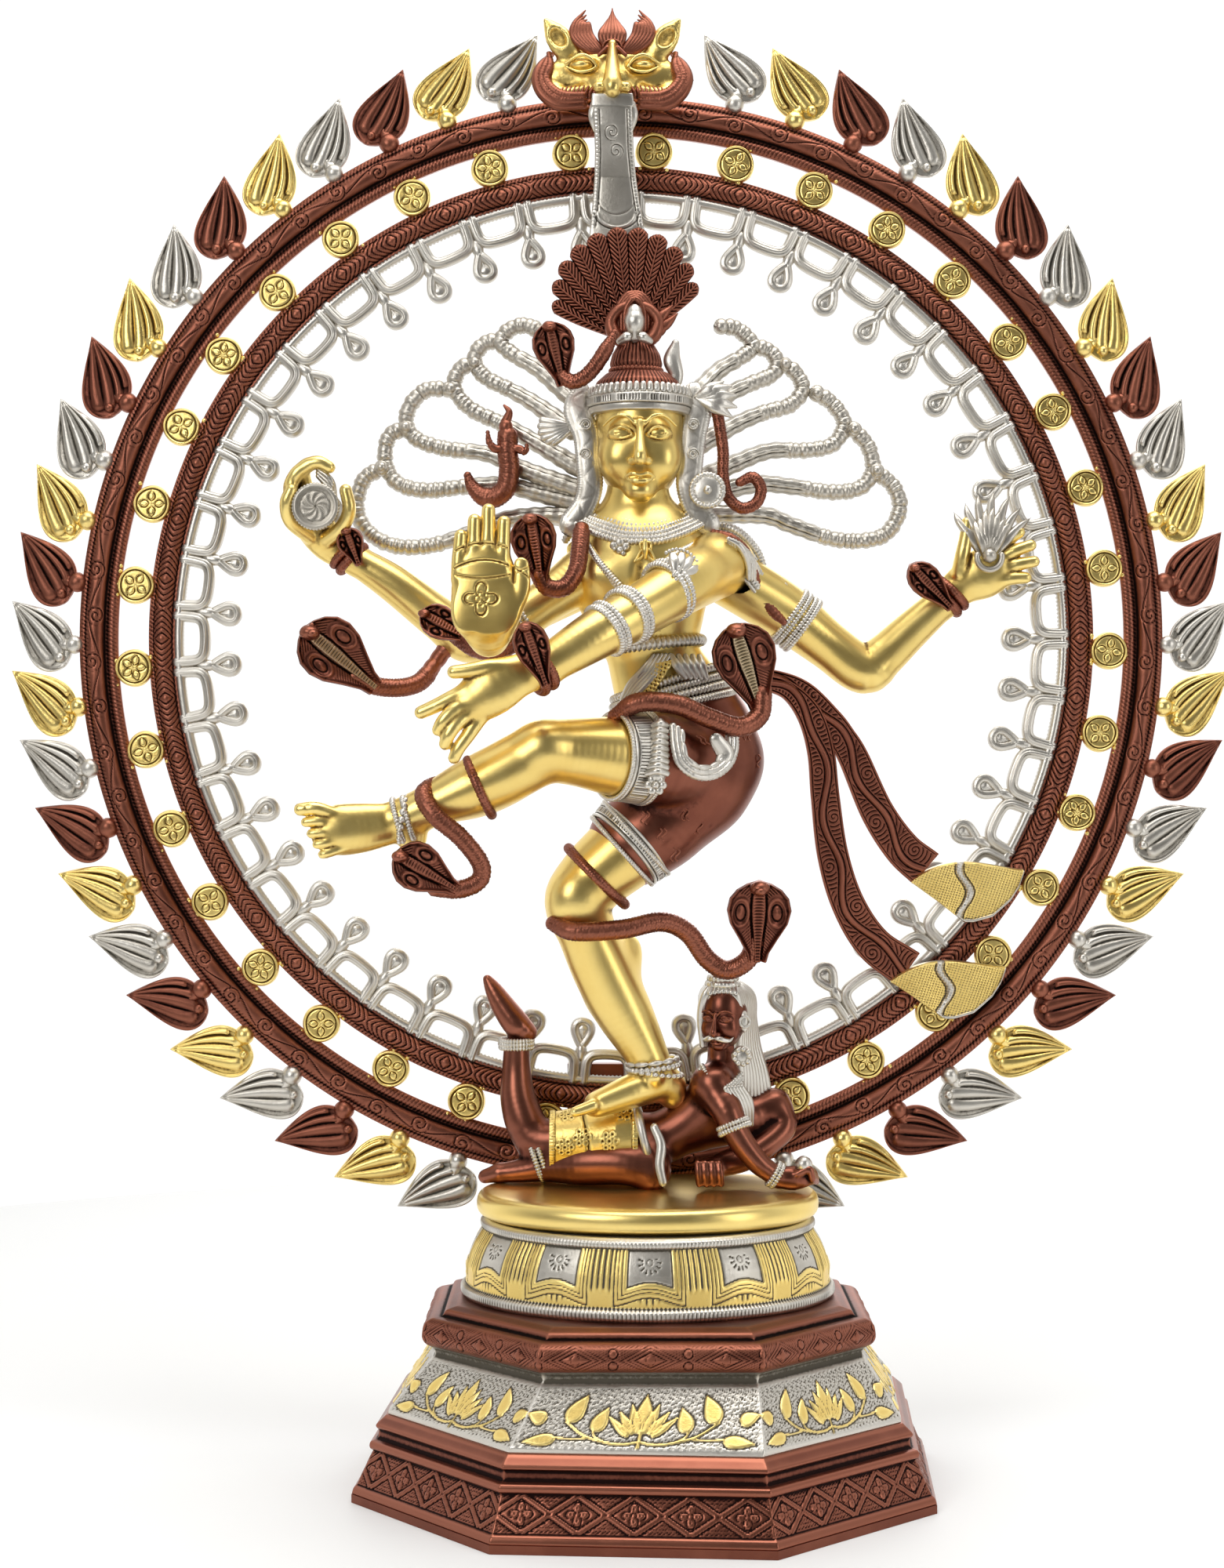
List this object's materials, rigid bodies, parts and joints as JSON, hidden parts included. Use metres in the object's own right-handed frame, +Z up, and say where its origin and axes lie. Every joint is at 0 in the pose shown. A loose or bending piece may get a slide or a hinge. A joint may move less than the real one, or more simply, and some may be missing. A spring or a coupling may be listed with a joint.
{
  "type": "nataraja statue",
  "caption": "Standing dancing figure in a ring of flames, on a crouching dwarf, lotus cushion and octagonal pedestal; cast brass in gold, copper and silver finishes.",
  "frame": {"origin": "centre of the foot slab's underside, on the surface that the statue stands on", "axes": "+Z up, -Y towards the viewer in front of the dancer, +X to that viewer's right"},
  "size_m": [0.7712, 0.3236, 0.915],
  "materials": {
    "gold_brass": "polished, lacquered gold-tone brass",
    "coppered_brass": "copper-brown plated brass, burnished high spots",
    "silvered_brass": "silver plated brass with dark antiquing in the recesses",
    "steel_fastener": "plain zinc-plated steel"
  },
  "bodies": {
    "root": {"foot_slab": "coppered_brass", "pedestal_lower": "coppered_brass", "lotus_frieze": "silvered_brass", "pedestal_upper": "coppered_brass", "lotus_cushion": "silvered_brass", "plinth": "gold_brass", "tie_rod": "steel_fastener", "tie_nuts": "steel_fastener", "tie_bar": "steel_fastener", "plate_screws": "steel_fastener", "ring_bracket": "coppered_brass", "bracket_bolts": "steel_fastener", "outer_band": "coppered_brass", "inner_band": "coppered_brass", "rosettes": "gold_brass", "fringe": "silvered_brass", "flames_silver": "silvered_brass", "flames_gold": "gold_brass", "flames_copper": "coppered_brass", "lion_mask": "gold_brass", "lion_mane": "coppered_brass", "tongue_strap": "silvered_brass", "dwarf_body": "coppered_brass", "dwarf_head": "coppered_brass", "dwarf_hair": "silvered_brass", "dwarf_cloth": "gold_brass", "dwarf_jewellery": "silvered_brass", "torso": "gold_brass", "head": "gold_brass", "hair_cap": "coppered_brass", "crown_band": "silvered_brass", "plume": "coppered_brass", "hair_fan_left": "silvered_brass", "hair_fan_right": "silvered_brass", "mermaid": "coppered_brass", "standing_leg": "gold_brass", "raised_leg": "gold_brass", "shorts": "coppered_brass", "belt": "silvered_brass", "necklaces": "silvered_brass", "arm_drum": "gold_brass", "arm_blessing": "gold_brass", "arm_crossing": "gold_brass", "arm_fire": "gold_brass", "drum": "silvered_brass", "palm_flame": "silvered_brass", "snake_crown": "coppered_brass", "snake_shoulder": "coppered_brass", "snake_elbow": "coppered_brass", "snake_side": "coppered_brass", "snake_wrist": "coppered_brass", "snake_waist": "coppered_brass", "snake_raised_leg": "coppered_brass", "snake_standing_leg": "coppered_brass", "snake_fire_wrist": "coppered_brass", "snake_ear": "coppered_brass", "armlets": "silvered_brass", "anklets": "silvered_brass", "sash_upper": "coppered_brass", "sash_lower": "coppered_brass"}
  },
  "joints": []
}
